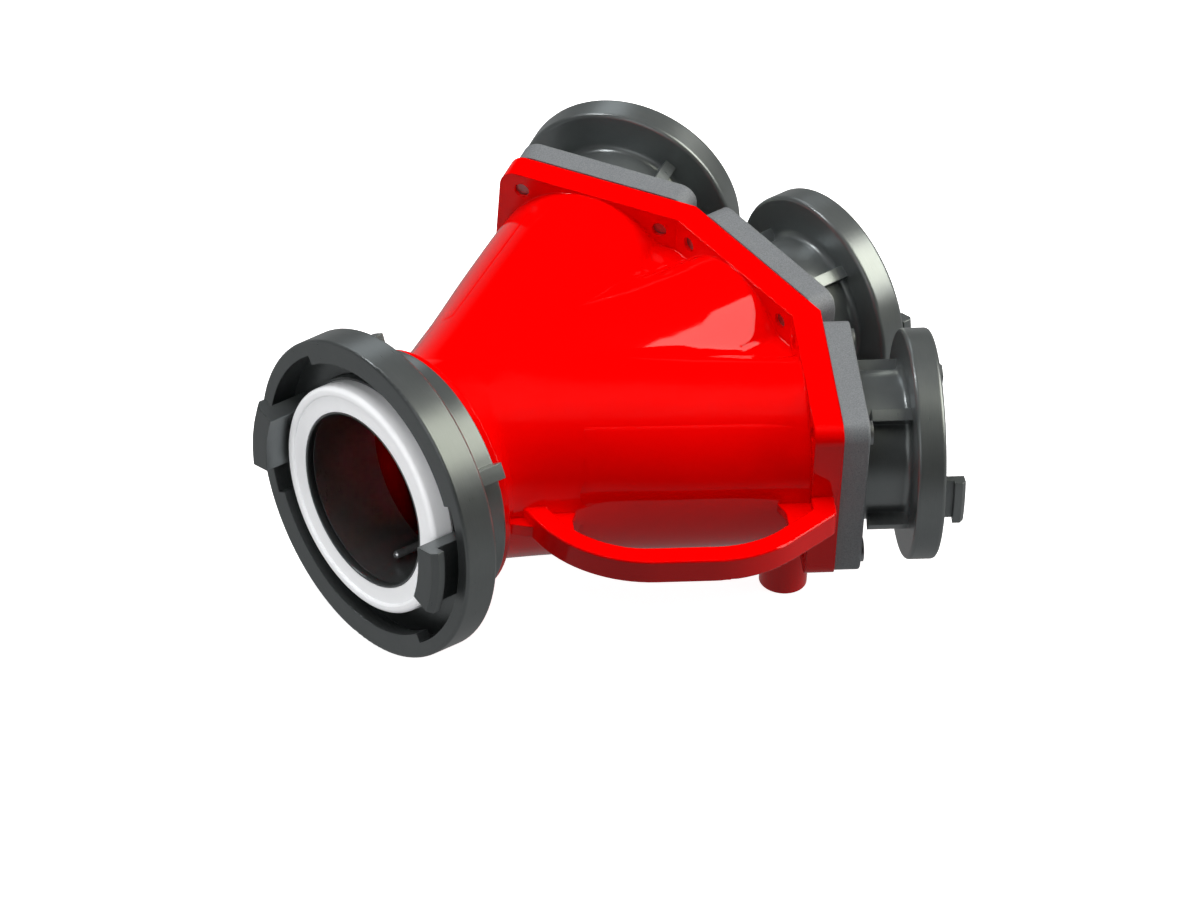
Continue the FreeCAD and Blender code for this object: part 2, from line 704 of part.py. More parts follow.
def housing():
    tube = "(tube_bore + tube_end_wall)"
    body_radius = "(junction_bore + junction_wall)"
    neck_back = f"{NECK_FRONT} + neck_collar_depth"
    tubes = [part_cylinder("neck", body_radius, NECK_FRONT, f"junction_place - {NECK_FRONT}")]
    feet = []
    hollows = [
        part_cylinder("thread_bore", f"{TAIL_THREAD} + thread_clearance", f"{TAIL_SHOULDER} - 1",
                      f"tail_thread_end - {TAIL_SHOULDER} + 1"),
        part_cylinder("neck_bore", "junction_bore", f"{TAIL_SHOULDER} - 1",
                      f"junction_place - {TAIL_SHOULDER} + 1"),
    ]
    for side, way in BRANCHES.items():
        ease = "junction_ease" if way else "0"
        cone = part_cone(f"tube_cone_{side}", "-branch_length", "branch_length - flange_thickness / 2",
                         f"{body_radius} - {ease}", tube)
        tubes.append(to_branch(group(f"tube_{side}", [cone]), side))
        if way:
            foot_height = f"{ring_radius('outlet')} - {tube} + tube_end_wall * 0.75"
            foot = part_cylinder(f"foot_{side}", "foot_radius", None, foot_height, x="-foot_inset",
                                 z=f"-{ring_radius('outlet')}", rotation=Rotation())
            feet.append(to_branch(group(f"foot_turned_{side}", [foot]), side))
            tubes.append(web(side))
        bores = [part_cone(f"tube_bore_{side}", "-branch_length", "branch_length + 1",
                           f"junction_bore - {ease}", "tube_bore")]
        for corner, (across, up) in enumerate(((1, 1), (1, -1), (-1, 1), (-1, -1)), start=1):
            bores.append(part_cylinder(
                f"screw_hole_{side}_{corner}", "screw_radius + thread_clearance", "-flange_thickness - 1",
                "flange_thickness + 2", y=f"{across} * screw_spacing / 2", z=f"{up} * screw_spacing / 2"))
        hollows.append(to_branch(fuse(f"hollow_{side}", bores), side))
    merged = blended("creases", fuse("merged_tubes", tubes), "crease_fillet", tube_creases())
    flanged = blended("roots", fuse("flanged_tubes", [merged, flange()]), "tube_root_fillet", flange_roots())
    handled = fuse("handled_tubes", [flanged, handle("right"), handle_webs("right")] + feet)
    gripped = blended("grip", handled, "handle_root_fillet", handle_roots())
    casting = fuse("casting", [
        gripped,
        gusset("right"),
        part_cylinder("spigot", SPIGOT_RADIUS, TAIL_SHOULDER, f"{NECK_FRONT} + 1 - {TAIL_SHOULDER}"),
        part_cylinder("neck_collar", "neck_collar_radius", NECK_FRONT, "neck_collar_depth"),
        part_cone("neck_taper", neck_back, "neck_taper_length", f"{body_radius} + neck_taper_width",
                  body_radius),
    ])
    shell = cut("hollowed", casting, fuse("waterway", hollows))
    carrier = document.addObject("Part::Box", "pin_carrier")
    bind(carrier, Length="stop_pin_carrier", Width="stop_pin_carrier",
         Height="junction_bore + junction_wall / 2 - stop_pin_drop + stop_pin_carrier / 2",
         Placement__Base__x="stop_pin_tip + stop_pin_length - stop_pin_carrier + 1",
         Placement__Base__y="-stop_pin_side - stop_pin_carrier / 2",
         Placement__Base__z="-junction_bore - junction_wall / 2")
    pin_hole = part_cylinder("pin_hole", "stop_pin_radius", "stop_pin_tip", "stop_pin_length",
                             y="-stop_pin_side", z="-stop_pin_drop")
    return cut("housing", fuse("cast_and_carrier", [shell, carrier]), pin_hole)


node(housing(), "housing")

# Outlet: tail piece, seal, O-ring, lug ring and stop pin

tail = node(new_body("tail"), "outlet_tail")
turned(tail, "turned_piece", [
    ("outlet_core_recess", "outlet_bore"),
    ("outlet_core_recess", core("outlet")),
    ("outlet_seal_seat", core("outlet")),
    ("outlet_seal_seat", HUB["outlet"]),
    (TAIL_SHOULDER, HUB["outlet"]),
    (TAIL_SHOULDER, TAIL_THREAD),
    ("tail_thread_end", TAIL_THREAD),
    ("tail_thread_end", "outlet_bore"),
])
turned(tail, "cord_groove", [
    ("outlet_cord_place - 1.2 * outlet_cord", f"{TAIL_THREAD} - 2 * outlet_cord - seal_clearance"),
    ("outlet_cord_place - 1.2 * outlet_cord", f"{TAIL_THREAD} + 1"),
    ("outlet_cord_place + 1.2 * outlet_cord", f"{TAIL_THREAD} + 1"),
    ("outlet_cord_place + 1.2 * outlet_cord", f"{TAIL_THREAD} - 2 * outlet_cord - seal_clearance"),
], "PartDesign::Groove")


def cord_ring(name, radius, section, place):
    """O-ring about X."""
    item = document.addObject("Part::Torus", name)
    item.Placement = Placement(Vector(), ALONG_X)
    return bind(item, Radius1=radius, Radius2=section, Placement__Base__x=place)


tail_cord = cord_ring("tail_cord", f"{TAIL_THREAD} - outlet_cord", "outlet_cord", "outlet_cord_place")
node(tail_cord, "outlet_o_ring")
node(lip_seal("outlet_lip", "outlet"), "outlet_seal")

ring = node(new_body("lug_ring"), "outlet_lug_ring")
turned(ring, "turned_piece", [
    ("0", lip_radius("outlet")),
    ("0", ring_radius("outlet")),
    (ring_depth("outlet"), ring_radius("outlet")),
    (ring_depth("outlet"), RING_COLLAR),
    (RING_END, RING_COLLAR),
    (RING_END, f"{SPIGOT_RADIUS} + running_clearance"),
    (f"{TAIL_SHOULDER} + swivel_play", f"{SPIGOT_RADIUS} + running_clearance"),
    (f"{TAIL_SHOULDER} + swivel_play", f"{HUB['outlet']} + swivel_play"),
    (floor_depth("outlet"), f"{HUB['outlet']} + swivel_play"),
    (floor_depth("outlet"), groove_radius("outlet")),
    ("outlet_lip_depth", groove_radius("outlet")),
    ("outlet_lip_depth", lip_radius("outlet")),
])
rim = size(ring_radius("outlet"))
collar = size(RING_COLLAR)
collar_back = size(RING_END)
rounded(ring, "edges", "outlet_edge",
        lambda edge: is_round(edge, rim) or is_round(edge, collar, collar_back))
lugs_and_notches(ring, "outlet", RING_COLLAR, ring_depth("outlet"))

stop_pin = node(new_body("stop_pin"), "outlet_stop_pin")
bind(stop_pin, Placement__Base__x="stop_pin_tip", Placement__Base__y="-stop_pin_side",
     Placement__Base__z="-stop_pin_drop")
turned(stop_pin, "rod", [
    ("0", "0"), ("0", "stop_pin_radius"), ("stop_pin_length", "stop_pin_radius"), ("stop_pin_length", "0"),
])
rounded(stop_pin, "tip", "stop_pin_radius * 0.9", lambda edge: is_round(edge, SIZES["stop_pin_radius"], 0))


# Inlet units

def inlet_plate(side):
    """Square plate bolted to the flange: valve seat, threaded bore for the coupling and two hinge ears."""
    body = new_body(f"plate_{side}")
    square = sketch_on(body, "square", "YZ_Plane")
    half = "plate_side / 2"
    outline(square, [(f"-{half}", f"-{half}"), (half, f"-{half}"), (half, half), (f"-{half}", half)])
    raised(body, "blank", square, "plate_thickness")
    thickness = size("plate_thickness")
    rounded(body, "corners", "plate_corner", lambda edge: abs(edge.BoundBox.XLength - thickness) < 1e-4)
    rounded(body, "back_edge", "plate_edge", lambda edge: edge.BoundBox.XLength < 1e-4
            and abs(edge.CenterOfMass.x - thickness) < 1e-4)
    ears = sketch_on(body, "ear_side", "XZ_Plane")
    outline(ears, [
        ("1", f"{PIN_HEIGHT} - {EAR_RADIUS}"), ("1", f"{PIN_HEIGHT} + {EAR_RADIUS}"),
        (f"-{PIN_PLACE} - {EAR_RADIUS}", f"{PIN_HEIGHT} + {EAR_RADIUS}"),
        (f"-{PIN_PLACE} - {EAR_RADIUS}", f"{PIN_HEIGHT} - {EAR_RADIUS}"),
    ])
    raised(body, "ears", ears, EAR_SPAN, both_ways=True)
    nose = -size(f"{PIN_PLACE} + {EAR_RADIUS}")
    rounded(body, "ear_nose", f"{EAR_RADIUS} * 0.95", lambda edge: abs(edge.CenterOfMass.x - nose) < 1e-4
            and edge.BoundBox.YLength > 1)
    slot = sketch_on(body, "slot_side", "XZ_Plane")
    outline(slot, [
        ("0", "0"), ("0", f"{PIN_HEIGHT} + 2 * {EAR_RADIUS}"),
        (f"-{PIN_PLACE} - 2 * {EAR_RADIUS}", f"{PIN_HEIGHT} + 2 * {EAR_RADIUS}"),
        (f"-{PIN_PLACE} - 2 * {EAR_RADIUS}", "0"),
    ])
    raised(body, "slot", slot, "knuckle_length + 2 * ear_play", "PartDesign::Pocket", both_ways=True)
    pin_hole = circles(sketch_on(body, "pin_side", "XZ_Plane"), [(f"-{PIN_PLACE}", PIN_HEIGHT)],
                       "hinge_pin_radius")
    raised(body, "pin_hole", pin_hole, f"{EAR_SPAN} + 2", "PartDesign::Pocket", both_ways=True)
    turned(body, "bore", [
        ("-1", "0"), ("-1", SEAT_BORE), ("seat_depth", SEAT_BORE),
        ("seat_depth", f"{INLET_SPIGOT} + thread_clearance"),
        ("plate_thickness + 1", f"{INLET_SPIGOT} + thread_clearance"), ("plate_thickness + 1", "0"),
    ], "PartDesign::Groove")
    turned(body, "cord_groove", [
        ("-1", "tube_bore + plate_cord_land - 1.1 * plate_cord"),
        ("-1", "tube_bore + plate_cord_land + 1.1 * plate_cord"),
        ("2 * plate_cord + seal_clearance", "tube_bore + plate_cord_land + 1.1 * plate_cord"),
        ("2 * plate_cord + seal_clearance", "tube_bore + plate_cord_land - 1.1 * plate_cord"),
    ], "PartDesign::Groove")
    spread = "screw_spacing / 2"
    holes = circles(sketch_on(body, "holes", "YZ_Plane"), [
        (spread, spread), (spread, f"-{spread}"), (f"-{spread}", spread), (f"-{spread}", f"-{spread}"),
    ], "screw_radius + thread_clearance")
    raised(body, "screw_holes", holes, "plate_thickness", "PartDesign::Pocket", backwards=True)
    return body


def inlet_coupling(side):
    """One-piece lug coupling, with its threaded spigot towards the plate."""
    body = new_body(f"coupling_{side}")
    turned(body, "turned_piece", [
        ("0", lip_radius("inlet")),
        ("0", ring_radius("inlet")),
        (ring_depth("inlet"), ring_radius("inlet")),
        (ring_depth("inlet"), INLET_BARREL),
        (INLET_SHOULDER, INLET_BARREL),
        (INLET_SHOULDER, INLET_SPIGOT),
        (f"{INLET_SHOULDER} + {INLET_SPIGOT_LENGTH}", INLET_SPIGOT),
        (f"{INLET_SHOULDER} + {INLET_SPIGOT_LENGTH}", "inlet_bore"),
        ("inlet_core_recess", "inlet_bore"),
        ("inlet_core_recess", core("inlet")),
        ("inlet_seal_seat", core("inlet")),
        ("inlet_seal_seat", HUB["inlet"]),
        (floor_depth("inlet"), HUB["inlet"]),
        (floor_depth("inlet"), groove_radius("inlet")),
        ("inlet_lip_depth", groove_radius("inlet")),
        ("inlet_lip_depth", lip_radius("inlet")),
    ])
    rim = size(ring_radius("inlet"))
    barrel = size(INLET_BARREL)
    rim_back = size(ring_depth("inlet"))
    rounded(body, "edges", "inlet_edge", lambda edge: is_round(edge, rim))
    rounded(body, "barrel_root", "inlet_barrel_fillet", lambda edge: is_round(edge, barrel, rim_back))
    lugs_and_notches(body, "inlet", INLET_BARREL, ring_depth("inlet"))
    return face_outwards(body, side)


def face_outwards(item, side):
    """Turns a coupling's piece, drawn with its face at X = 0, to look out of its branch."""
    turn = BRANCHES[side]
    reach = f"(branch_length + plate_thickness + {INLET_SHOULDER})"
    item.Placement = Placement(Vector(), Rotation(Vector(0, 0, 1), 1))
    return bind(
        item,
        Placement__Base__x=f"junction_place + {reach} * cos({turn} * branch_angle)",
        Placement__Base__y=f"{reach} * sin({turn} * branch_angle)",
        Placement__Rotation__Angle=f"180 + {turn} * branch_angle",
    )


def coupling_gasket(side):
    """Flat gasket between the coupling's spigot and the step in the plate."""
    body = new_body(f"gasket_{side}")
    turned(body, "washer", [
        ("seat_depth", "inlet_bore + gasket_setback"), ("seat_depth", INLET_SPIGOT),
        ("seat_depth + gasket_thickness", INLET_SPIGOT),
        ("seat_depth + gasket_thickness", "inlet_bore + gasket_setback"),
    ])
    return body


def flap(side):
    """Cast flap: a disc, a knuckle round the hinge pin and a spine between them."""
    body = new_body(f"flap_{side}")
    disc = sketch_on(body, "disc_face", "YZ_Plane", lift=f"-{FLAP_FRONT}")
    circles(disc, [("0", "-flap_drop")], FLAP_RADIUS)
    raised(body, "disc", disc, "flap_thickness")
    spine = outline(sketch_on(body, "spine_side", "XZ_Plane"), [
        (f"-{FLAP_BACK} - flap_thickness / 4", PIN_HEIGHT),
        (f"-{FLAP_FRONT} - flap_spine_height", PIN_HEIGHT),
        (f"-{FLAP_FRONT} - flap_spine_height", "0"),
        (f"-{FLAP_FRONT}", f"-flap_drop - {FLAP_RADIUS} / 2"),
        (f"-{FLAP_BACK} - flap_thickness / 4", f"-flap_drop - {FLAP_RADIUS} / 2"),
    ])
    raised(body, "spine", spine, "flap_spine_width", both_ways=True)
    knuckle = circles(sketch_on(body, "knuckle_side", "XZ_Plane"), [(f"-{PIN_PLACE}", PIN_HEIGHT)], KNUCKLE)
    raised(body, "knuckle", knuckle, "knuckle_length", both_ways=True)
    hole = circles(sketch_on(body, "hole_side", "XZ_Plane"), [(f"-{PIN_PLACE}", PIN_HEIGHT)],
                   "hinge_pin_radius + running_clearance")
    raised(body, "hole", hole, "knuckle_length + 2", "PartDesign::Pocket", both_ways=True)
    return body


def flap_facing(side):
    """Rubber disc bonded to the back of the flap, which closes on the seat."""
    return part_cylinder(f"facing_{side}", FLAP_RADIUS, f"-{FLAP_BACK}", "facing_thickness", z="-flap_drop")


def hinge_pin(side):
    return part_cylinder(f"pin_{side}", "hinge_pin_radius", None, EAR_SPAN, x=f"-{PIN_PLACE}",
                         y=f"-{EAR_SPAN} / 2", z=PIN_HEIGHT, rotation=ALONG_Y)


def plate_screws(side):
    """Four low-headed socket screws through the plate into the flange, as one group."""
    screws = []
    for corner, (across, up) in enumerate(((1, 1), (1, -1), (-1, 1), (-1, -1)), start=1):
        place = {"y": f"{across} * screw_spacing / 2", "z": f"{up} * screw_spacing / 2"}
        name = f"{side}_{corner}"
        shank = part_cylinder(f"shank_{name}", "screw_radius", "screw_recess - flange_thickness",
                              "plate_thickness + flange_thickness - screw_recess", **place)
        head = part_cylinder(f"head_{name}", "screw_head_radius", "plate_thickness", "screw_head_height",
                             **place)
        socket_floor = "plate_thickness + screw_head_height - screw_socket_depth"
        socket = part_cylinder(f"socket_{name}", "screw_socket_radius", socket_floor,
                               "screw_socket_depth + 1", **place)
        screws.append(cut(f"screw_{name}", fuse(f"screw_blank_{name}", [shank, head]), socket))
    return group(f"screws_{side}", screws)


for side in BRANCHES:
    node(to_branch(inlet_plate(side), side), f"inlet_plate_{side}")
    cord = cord_ring(f"plate_cord_{side}", "tube_bore + plate_cord_land", "plate_cord",
                     "plate_cord + seal_clearance / 2")
    node(to_branch(group(f"plate_cord_turned_{side}", [cord]), side), f"plate_o_ring_{side}")
    node(inlet_coupling(side), f"inlet_coupling_{side}")
    node(face_outwards(lip_seal(f"lip_{side}", "inlet"), side), f"inlet_seal_{side}")
    node(to_branch(coupling_gasket(side), side), f"coupling_gasket_{side}")
    node(to_branch(flap(side), side), f"flap_{side}")
    for name, piece in (("flap_facing", flap_facing(side)), ("hinge_pin", hinge_pin(side))):
        node(to_branch(group(f"{name}_turned_{side}", [piece]), side), f"{name}_{side}")
    node(to_branch(plate_screws(side), side), f"plate_screws_{side}")

document.recompute()

# Every object has to be sound before anything is written

for item in document.Objects:
    if "Invalid" in item.State or "Error" in item.State:
        raise RuntimeError(f"{item.Label} failed: {item.State}")
for item in nodes:
    if item.Shape.isNull() or not item.Shape.isValid() or not item.Shape.Solids:
        raise RuntimeError(f"{item.Label} has no sound solid")

os.makedirs("parts", exist_ok=True)
for item in nodes:
    item.Shape.exportStep(f"parts/{item.Label}.step")
    print(item.Label, len(item.Shape.Solids), round(item.Shape.Volume / 1000, 2), "cm3")
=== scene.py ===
import math

import bpy
import numpy as np
from mathutils import Matrix, Quaternion, Vector


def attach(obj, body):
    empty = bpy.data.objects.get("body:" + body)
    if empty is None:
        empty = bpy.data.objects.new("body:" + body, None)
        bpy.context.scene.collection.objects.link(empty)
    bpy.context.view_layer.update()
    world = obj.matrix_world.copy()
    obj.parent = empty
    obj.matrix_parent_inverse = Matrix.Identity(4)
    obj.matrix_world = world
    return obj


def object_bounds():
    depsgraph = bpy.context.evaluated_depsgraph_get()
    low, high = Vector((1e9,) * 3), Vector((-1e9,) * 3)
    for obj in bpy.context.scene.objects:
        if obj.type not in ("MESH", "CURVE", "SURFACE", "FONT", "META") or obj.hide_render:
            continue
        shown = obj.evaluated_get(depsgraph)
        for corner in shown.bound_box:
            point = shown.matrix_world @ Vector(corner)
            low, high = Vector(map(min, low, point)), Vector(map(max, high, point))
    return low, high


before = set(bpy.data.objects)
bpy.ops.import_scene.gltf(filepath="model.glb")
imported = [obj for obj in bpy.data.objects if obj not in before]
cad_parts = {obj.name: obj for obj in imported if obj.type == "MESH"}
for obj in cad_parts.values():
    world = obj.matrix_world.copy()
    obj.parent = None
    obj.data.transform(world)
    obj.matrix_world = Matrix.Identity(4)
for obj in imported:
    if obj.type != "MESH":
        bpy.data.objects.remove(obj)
cad_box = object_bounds()


# Casting
# One light-alloy casting: neck, three tubes run together, flange, feet and carrying handle.
# It is coated in a thick gloss red enamel, which softens its edges and ripples a little.

class Finish:
    """A socket in a material's nodes. Arithmetic on sockets and numbers adds Math nodes."""

    def __init__(self, tree, socket):
        self.tree = tree
        self.socket = socket

    def add(self, kind, settings, sockets, output=0):
        """New node: first its settings, then the values or links of its sockets."""
        node = self.tree.nodes.new(kind)
        for name, value in settings.items():
            setattr(node, name, value)
        for name, value in sockets.items():
            if isinstance(value, Finish):
                self.tree.links.new(value.socket, node.inputs[name])
            else:
                node.inputs[name].default_value = value
        return Finish(self.tree, node.outputs[output])

    def math(self, operation, *values):
        """Math node of an operation on sockets and numbers."""
        return self.add("ShaderNodeMath", {"operation": operation}, dict(enumerate(values)))

    def __add__(self, other):
        return self.math("ADD", self, other)

    def __mul__(self, other):
        return self.math("MULTIPLY", self, other)

    def __pow__(self, power):
        return self.math("POWER", self, power)

    __radd__ = __add__
    __rmul__ = __mul__

    def noise(self, scale, detail=2.0, roughness=0.5):
        """Cloudy value from 0 to 1 at this place, with about scale blobs to the metre."""
        sockets = {"Vector": self, "Scale": scale, "Detail": detail, "Roughness": roughness}
        return self.add("ShaderNodeTexNoise", {}, sockets)

    def between(self, first, last):
        """Colour that goes from the first to the last as this value goes from 0 to 1."""
        sockets = {0: self, 6: (*first, 1.0), 7: (*last, 1.0)}
        return self.add("ShaderNodeMix", {"data_type": "RGBA"}, sockets, output=2)

    def ramp(self, low, high):
        """Value from 0 to 1 as this one goes from low to high."""
        sockets = {"Value": self, "From Min": low, "From Max": high}
        return self.add("ShaderNodeMapRange", {}, sockets)


def new_finish(name, **constants):
    """Material with a Principled shader, and the object coordinates that its patterns read."""
    material = bpy.data.materials.new(name)
    material.use_nodes = True
    tree = material.node_tree
    shader = tree.nodes["Principled BSDF"]
    for socket, value in constants.items():
        shader.inputs[socket.replace("_", " ")].default_value = value
    coordinates = tree.nodes.new("ShaderNodeTexCoord")
    return material, shader, Finish(tree, coordinates.outputs["Object"])


def feed(shader, **links):
    """Links worked-out sockets to a shader's sockets of those names."""
    for socket, value in links.items():
        value.tree.links.new(value.socket, shader.inputs[socket.replace("_", " ")])


def rippled(height, distance, edge, strength):
    """Surface direction with edges rounded to a radius and bumps of a height in metres over it."""
    soft = height.add("ShaderNodeBevel", {"samples": 4}, {"Radius": edge})
    sockets = {"Strength": strength, "Distance": distance, "Height": height, "Normal": soft}
    return height.add("ShaderNodeBump", {}, sockets)


def dress(material, *names):
    """Gives CAD nodes their finish."""
    for name in names:
        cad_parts[name].material_slots[0].material = material


JUNCTION = 0.0684
BRANCHES = {"left": math.radians(31), "middle": 0.0, "right": math.radians(-31)}
BRANCH_LENGTH = 0.197
BORE_FIRST_RADIUS = 0.0500
BORE_LAST_RADIUS = 0.0425
PART_OF_WALL = 0.003
NECK_REACH = 0.1
FORK_REACH = 0.02


def branch_place(place, turn):
    """Coordinates of a place along, across and over a branch at an angle in plan, from the junction."""
    sockets = {"Location": (JUNCTION, 0.0, 0.0), "Rotation": (0.0, 0.0, turn), "Vector": place}
    local = place.add("ShaderNodeMapping", {"vector_type": "TEXTURE"}, sockets)
    return [place.add("ShaderNodeSeparateXYZ", {}, {"Vector": local}, k) for k in range(3)]


def waterway(place):
    """1 on the casting's inner walls, where the enamel is painted dark as painted shade, and 0 on its
    outside.

    A point is inside where its distance from a branch's axis, (y^2 + z^2)^(1/2), is less than the
    radius of that bore and part of its wall. Each bore reaches back past the junction by a little,
    and the middle one by the whole neck.
    """
    taper = (BORE_LAST_RADIUS - BORE_FIRST_RADIUS) / BRANCH_LENGTH
    inside = []
    for turn in BRANCHES.values():
        along, across, over = branch_place(place, turn)
        edge = BORE_FIRST_RADIUS + PART_OF_WALL + taper * place.math("MAXIMUM", along, 0.0)
        apart = (across * across + over * over) ** 0.5
        ahead = place.math("GREATER_THAN", along, -FORK_REACH if turn else -NECK_REACH)
        inside.append(ahead * place.math("LESS_THAN", apart, edge))
    return place.math("MAXIMUM", place.math("MAXIMUM", inside[0], inside[1]), inside[2])


def red_enamel():
    """Gloss red: a slow ripple of the coat, fine orange peel and a little uneven gloss.

    Inside the waterway the casting is painted a dark red, as painted shade on the inner walls.
    """
    material, shader, place = new_finish("red_enamel", IOR=1.45)
    ripple = place.noise(45.0, 1.0)
    peel = place.noise(900.0, 1.0)
    thin = place.noise(14.0, 3.0).ramp(0.35, 0.7)
    coat = thin.between((0.93, 0.0003, 0.0003), (0.88, 0.0002, 0.0002))
    # Painted shade: the inner walls get this dark red in place of the coat's red.
    painted_inner_shade = thin.between((0.09, 0.001, 0.001), (0.07, 0.001, 0.001))
    colours = {0: waterway(place), 6: coat, 7: painted_inner_shade}
    feed(
        shader,
        Base_Color=place.add("ShaderNodeMix", {"data_type": "RGBA"}, colours, output=2),
        Roughness=0.05 + 0.05 * place.noise(120.0, 3.0),
        Normal=rippled(ripple + 0.05 * peel, 0.0003, 0.0010, 0.02),
    )
    return material


enamel = red_enamel()
dress(enamel, "housing")


# Tube swells
# Outside and below, the casting's two outer tubes swell by about two millimetres towards the flange.
# The swell is cast with the tube and runs out smoothly into it, under the same enamel.

TUBE_FIRST_RADIUS = 0.0568
TUBE_LAST_RADIUS = 0.0483
TUBE_LENGTH = 0.1891
SWELL = 0.0026
SWELL_SINK = 0.0003
SWELL_WALL = 0.0015
SWELL_START = 0.050
SWELL_END = 0.1818
FIRST_RISE = 0.6
FIRST_RISE_END = 0.120
LAST_RISE_START = 0.080
LAST_RISE_END = 0.165
SWELL_TILT = math.radians(-25)
SWELL_REACH = math.radians(85)
SWELL_RUN_OUT = math.radians(55)
BORDER_SINK = 0.0020
BORDER_LENGTH = 0.010
BORDER_ANGLE = math.radians(8)


def ease(value, low, high):
    """0 below low, 1 above high and 3 t^2 - 2 t^3 between them."""
    t = np.clip((value - low) / (high - low), 0, 1)
    return t * t * (3 - 2 * t)


def branch_axes(turn):
    """Rows: along a branch at an angle in plan, across it to the left, and up."""
    along = (math.cos(turn), math.sin(turn), 0.0)
    across = (-math.sin(turn), math.cos(turn), 0.0)
    return np.array([along, across, (0.0, 0.0, 1.0)])


def on_branch(surface, turn):
    """List of a surface's points, moved from a branch's own axes to the object's."""
    return surface.reshape(-1, 3) @ branch_axes(turn) + (JUNCTION, 0.0, 0.0)


def grid_faces(rows, steps, around=False, closed=False):
    """Quads between neighbouring rows of a grid of points, by the numbers of the points.

    Around joins each row's last point to its first, and closed joins the last row to the first.
    """
    row_numbers = np.arange(rows if closed else rows - 1)
    step_numbers = np.arange(steps if around else steps - 1)
    row, step = np.meshgrid(row_numbers, step_numbers, indexing="ij")
    after = (step + 1) % steps
    below = (row + 1) % rows
    corners = (row * steps + step, row * steps + after, below * steps + after, below * steps + step)
    return np.stack(corners, axis=2).reshape(-1, 4)


def add_piece(name, points, faces, material, smooth=False):
    """Piece that stays with the casting: points in metres, and faces by the numbers of the points."""
    mesh = bpy.data.meshes.new(name)
    mesh.from_pydata(points, [], faces)
    mesh.materials.append(material)
    mesh.polygons.foreach_set("use_smooth", np.full(len(faces), smooth))
    piece = bpy.data.objects.new(name, mesh)
    bpy.context.scene.collection.objects.link(piece)
    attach(piece, "body")
    return piece


def swell_surface(outward, rows=90, steps=72):
    """Swell over the distance s from the junction and the angle a from the swell's middle.

    radius = the tube's cone + (swell + sink) * rise(s) * fall(a) - sink, where rise and fall ease
    from 0 at the borders to 1. Close to the borders it dips further, well inside the tube's wall.
    """
    s = np.linspace(SWELL_START, SWELL_END, rows)[:, None]
    a = np.linspace(-SWELL_REACH, SWELL_REACH, steps)[None, :]
    from_border = SWELL_REACH - np.abs(a)
    cone = TUBE_FIRST_RADIUS + (TUBE_LAST_RADIUS - TUBE_FIRST_RADIUS) * s / TUBE_LENGTH
    last_rise = (1 - FIRST_RISE) * ease(s, LAST_RISE_START, LAST_RISE_END)
    rise = ease(s, SWELL_START, FIRST_RISE_END) * (FIRST_RISE + last_rise)
    fall = ease(from_border, 0, SWELL_RUN_OUT)
    clear = ease(s, SWELL_START, SWELL_START + BORDER_LENGTH) * ease(from_border, 0, BORDER_ANGLE)
    radius = cone + (SWELL + SWELL_SINK) * rise * fall - SWELL_SINK - BORDER_SINK * (1 - clear)
    along = np.broadcast_to(s, radius.shape)
    across = outward * radius * np.cos(a + SWELL_TILT)
    over = radius * np.sin(a + SWELL_TILT)
    return np.stack([along, across, over], axis=2)


for side, outward in (("left", 1), ("right", -1)):
    surface = swell_surface(outward)
    rows, steps, _ = surface.shape
    points = on_branch(surface, BRANCHES[side])
    faces = grid_faces(rows, steps)[:, ::outward].tolist()
    swell = add_piece(f"tube_swell_{side}", points, faces, enamel, smooth=True)
    wall = swell.modifiers.new("wall", "SOLIDIFY")
    wall.thickness = SWELL_WALL
    wall.offset = -1.0


# Outlet
# A turned tail piece screwed into the neck carries a loose lug ring, which swivels to lock on the pump.
# Both are a dark grey alloy with fine turning marks; a steel pin stops whatever the stream carries.

MARK_LENGTH = 0.004


def turned_alloy(name, turn, pale=1.0):
    """Dark grey alloy, turned about an axis that leaves the junction at an angle in plan. Pale above 1
    lightens its colour as painted light.

    With x along that axis, radius = (y^2 + z^2)^(1/2); the marks are noise over x and the radius,
    drawn out about the axis.
    """
    material, shader, place = new_finish(name, Metallic=0.78, IOR=1.5)
    x, y, z = branch_place(place, turn)
    radius = (y * y + z * z) ** 0.5
    about = place.math("ARCTAN2", z, y)
    rings = place.add("ShaderNodeCombineXYZ", {}, {"X": x, "Y": radius, "Z": MARK_LENGTH * about})
    marks = rings.noise(2400.0, 2.0)
    cloud = place.noise(55.0, 3.0)
    grit = place.noise(1800.0, 2.0)
    # Pale above 1 lightens both colours as painted light.
    dark = tuple(pale * c for c in (0.180, 0.196, 0.200))
    light = tuple(pale * c for c in (0.245, 0.262, 0.266))
    feed(
        shader,
        Base_Color=(0.6 * cloud + 0.4 * marks).between(dark, light),
        Roughness=0.23 + 0.08 * marks + 0.06 * cloud,
        Normal=rippled(0.6 * marks + 0.4 * grit, 0.0001, 0.0008, 0.4),
    )
    return material


def bright_steel():
    """Zinc-bright steel with faint stains."""
    material, shader, place = new_finish("bright_steel", Metallic=0.9)
    stain = place.noise(500.0, 3.0)
    feed(
        shader,
        Base_Color=stain.between((0.30, 0.31, 0.32), (0.48, 0.49, 0.50)),
        Roughness=0.28 + 0.2 * stain,
        Normal=rippled(place.noise(3000.0), 0.00004, 0.0003, 0.4),
    )
    return material


steel = bright_steel()
outlet_alloy = turned_alloy("outlet_alloy", 0.0)
dress(outlet_alloy, "outlet_tail", "outlet_lug_ring")
dress(steel, "outlet_stop_pin")


# Seals
# Moulded lip seals of white rubber sit in the couplings' faces and press against the next coupling's.
# O-rings, gaskets and flap facings are black rubber, held in their grooves and seats.

